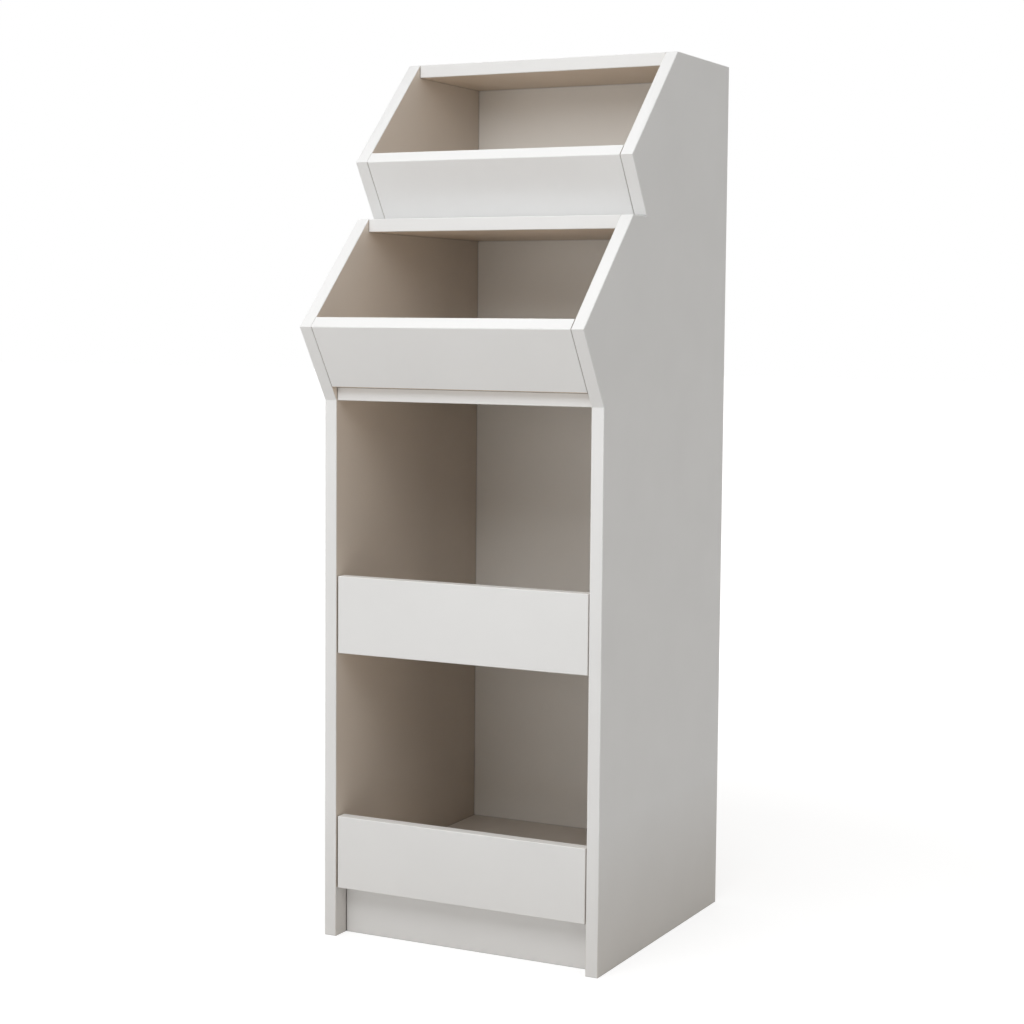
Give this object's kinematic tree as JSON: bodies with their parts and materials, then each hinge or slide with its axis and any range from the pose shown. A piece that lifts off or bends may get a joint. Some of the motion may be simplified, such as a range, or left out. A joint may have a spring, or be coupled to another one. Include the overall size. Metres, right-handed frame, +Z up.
{
  "type": "tilted vegetable bin cabinet",
  "caption": "Narrow white board cabinet for a kitchen, with tilted open-fronted vegetable bins in stepped side panels above open shelves that have upright lips.",
  "frame": {"origin": "on the floor, under the middle of the cabinet's outline", "axes": "+Z up, +X to the right as seen from the front, -Y towards the user"},
  "size_m": [0.42, 0.485, 1.225],
  "materials": {
    "white_board": "white satin laminate on particle board",
    "back_board": "white lacquered hardboard",
    "dowel_wood": "bare beech"
  },
  "bodies": {
    "root": {"left_side_panel": "white_board", "right_side_panel": "white_board", "top_panel": "white_board", "upper_bin_floor": "white_board", "lower_bin_floor": "white_board", "middle_shelf": "white_board", "bottom_shelf": "white_board", "upper_bin_front": "white_board", "lower_bin_front": "white_board", "middle_shelf_lip": "white_board", "bottom_shelf_lip": "white_board", "toe_kick": "white_board", "back_panel": "back_board", "top_panel_dowels": "dowel_wood", "upper_bin_floor_dowels": "dowel_wood", "lower_bin_floor_dowels": "dowel_wood", "middle_shelf_dowels": "dowel_wood", "bottom_shelf_dowels": "dowel_wood", "upper_bin_front_dowels": "dowel_wood", "lower_bin_front_dowels": "dowel_wood", "toe_kick_dowels": "dowel_wood", "middle_shelf_lip_dowels": "dowel_wood", "bottom_shelf_lip_dowels": "dowel_wood"}
  },
  "joints": []
}
